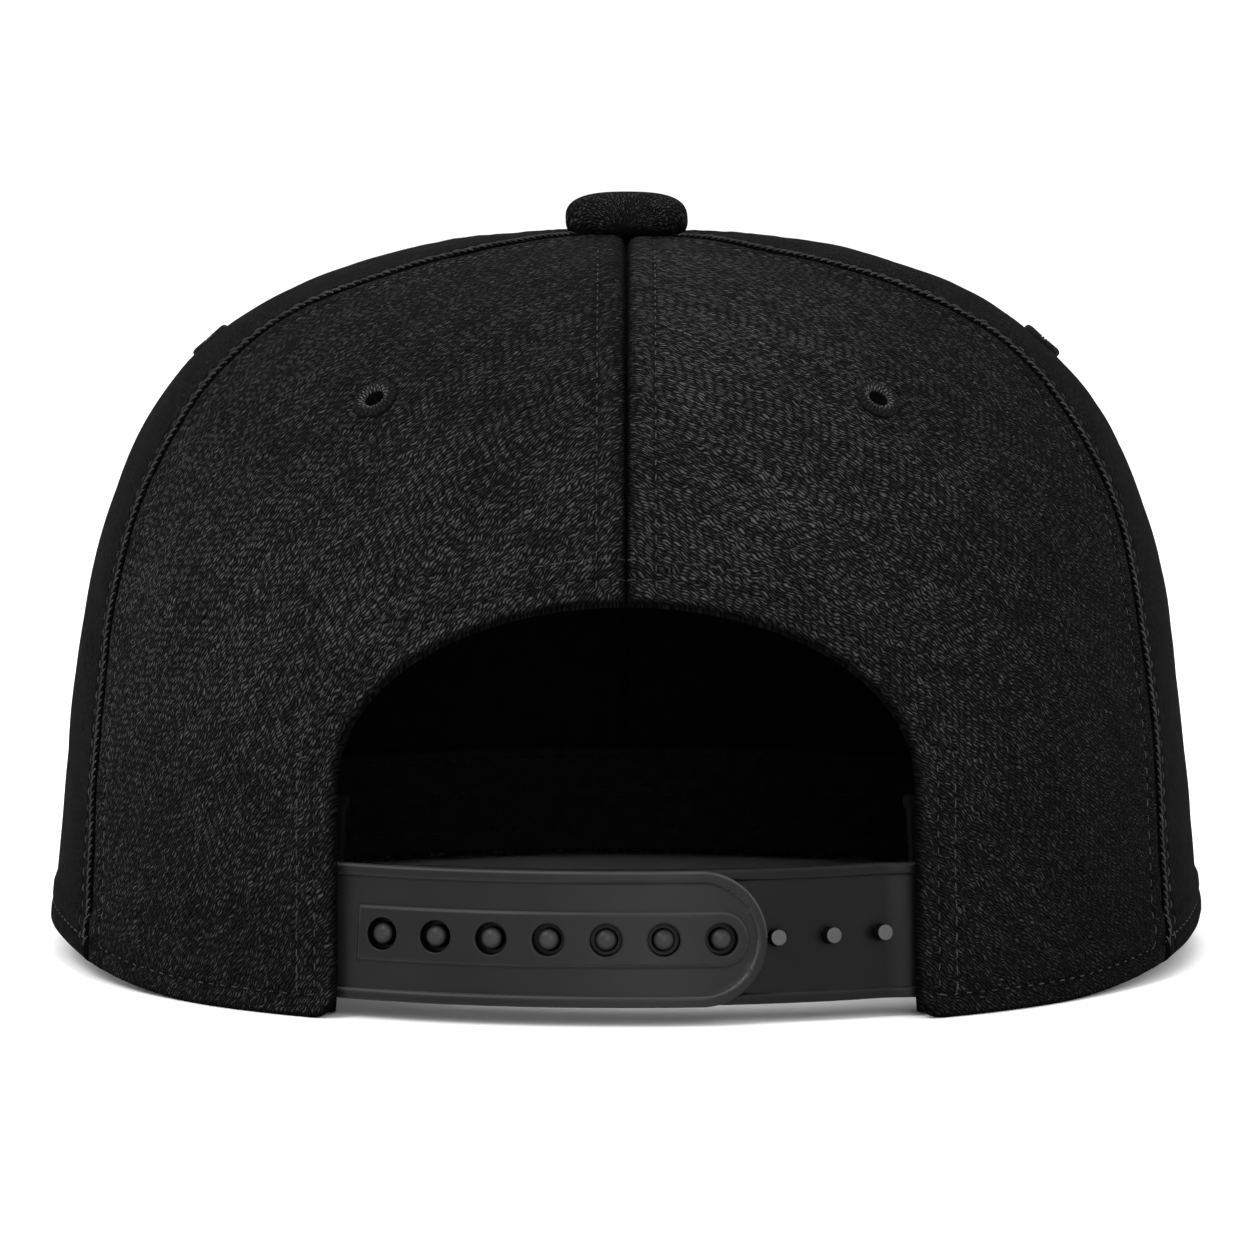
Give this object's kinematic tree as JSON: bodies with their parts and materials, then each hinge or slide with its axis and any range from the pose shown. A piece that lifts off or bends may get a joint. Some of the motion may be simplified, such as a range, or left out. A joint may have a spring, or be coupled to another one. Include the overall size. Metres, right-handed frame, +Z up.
{
  "type": "snapback cap",
  "caption": "Flat-peaked cap with a tall panelled crown, covered button, stitched eyelets and an arched back opening closed by a snap strap.",
  "frame": {"origin": "middle of the head opening, on the surface that the cap stands on", "axes": "+Z up, +Y forwards over the peak, +X to the wearer's right"},
  "size_m": [0.1772, 0.2595, 0.1156],
  "materials": {
    "twill": "matt black cotton twill",
    "lining": "matt black cotton band",
    "thread": "satin black embroidery thread",
    "strap_plastic": "satin dark grey moulded plastic"
  },
  "bodies": {
    "root": {"back_left_panel": "twill", "back_left_eyelet": "thread", "back_right_panel": "twill", "back_right_eyelet": "thread", "side_left_panel": "twill", "side_left_eyelet": "thread", "side_right_panel": "twill", "side_right_eyelet": "thread", "front_left_panel": "twill", "front_left_eyelet": "thread", "front_right_panel": "twill", "front_right_eyelet": "thread", "button": "twill", "peak": "twill", "sweatband": "lining", "outer_strap": "strap_plastic", "inner_strap": "strap_plastic"}
  },
  "joints": []
}
